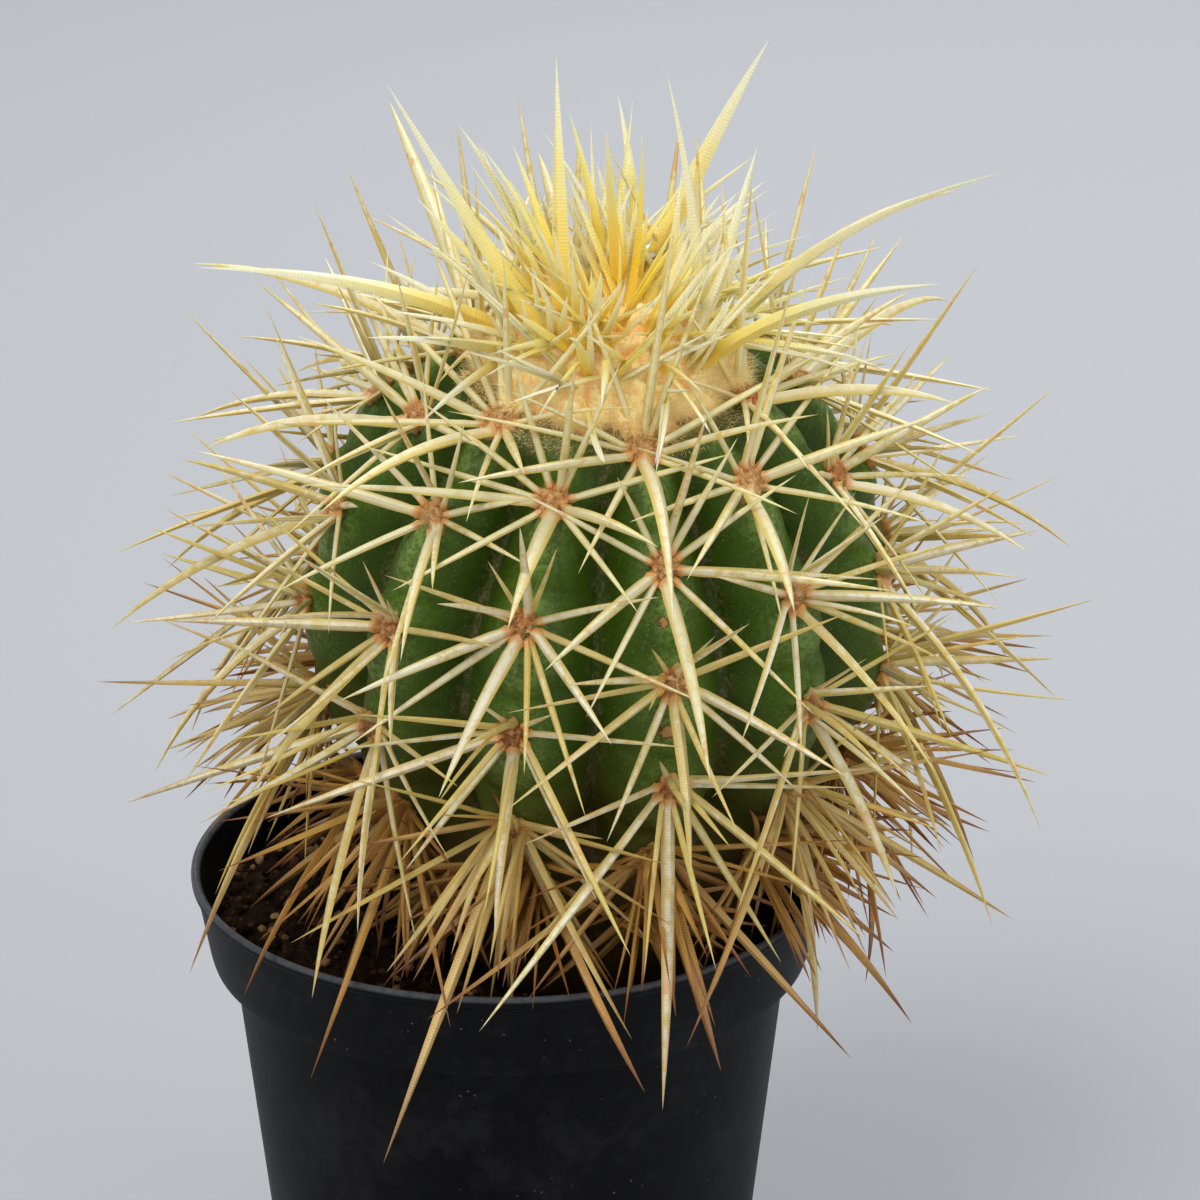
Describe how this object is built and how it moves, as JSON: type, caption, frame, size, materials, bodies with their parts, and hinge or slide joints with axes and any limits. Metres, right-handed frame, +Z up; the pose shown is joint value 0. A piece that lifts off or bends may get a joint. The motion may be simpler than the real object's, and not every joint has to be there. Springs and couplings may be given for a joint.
{
  "type": "potted round cactus",
  "caption": "Round ribbed cactus with long yellow spines and a woolly crown, growing in a round black plastic nursery pot filled with soil.",
  "frame": {"origin": "centre of the pot's flat base, on the surface that it stands on", "axes": "+Z up along the pot's axis; -Y towards the side that the plant leans to, which is the front in the picture; +X to the right seen from the front"},
  "size_m": [0.1572, 0.1532, 0.2293],
  "materials": {
    "pot_plastic": "thermoformed black plastic, satin, dusted with fine soil specks",
    "soil": "dark peat substrate with tan and pale grit",
    "cactus_skin": "deep green waxy skin with pale specks, dusty grooves and orange-brown felt at the areoles",
    "side_spines": "cream to straw spines, flattened and cross-banded, brown at the oldest tips",
    "areole_felt": "short orange-brown felt",
    "crown_spines": "egg-yolk yellow young spines that pale to lemon at the tips",
    "crown_wool": "dense peach to cream wool, dusty at its outer edge"
  },
  "bodies": {
    "root": {"pot": "pot_plastic", "soil": "soil", "cactus": "cactus_skin", "crown": "crown_spines"}
  },
  "joints": []
}
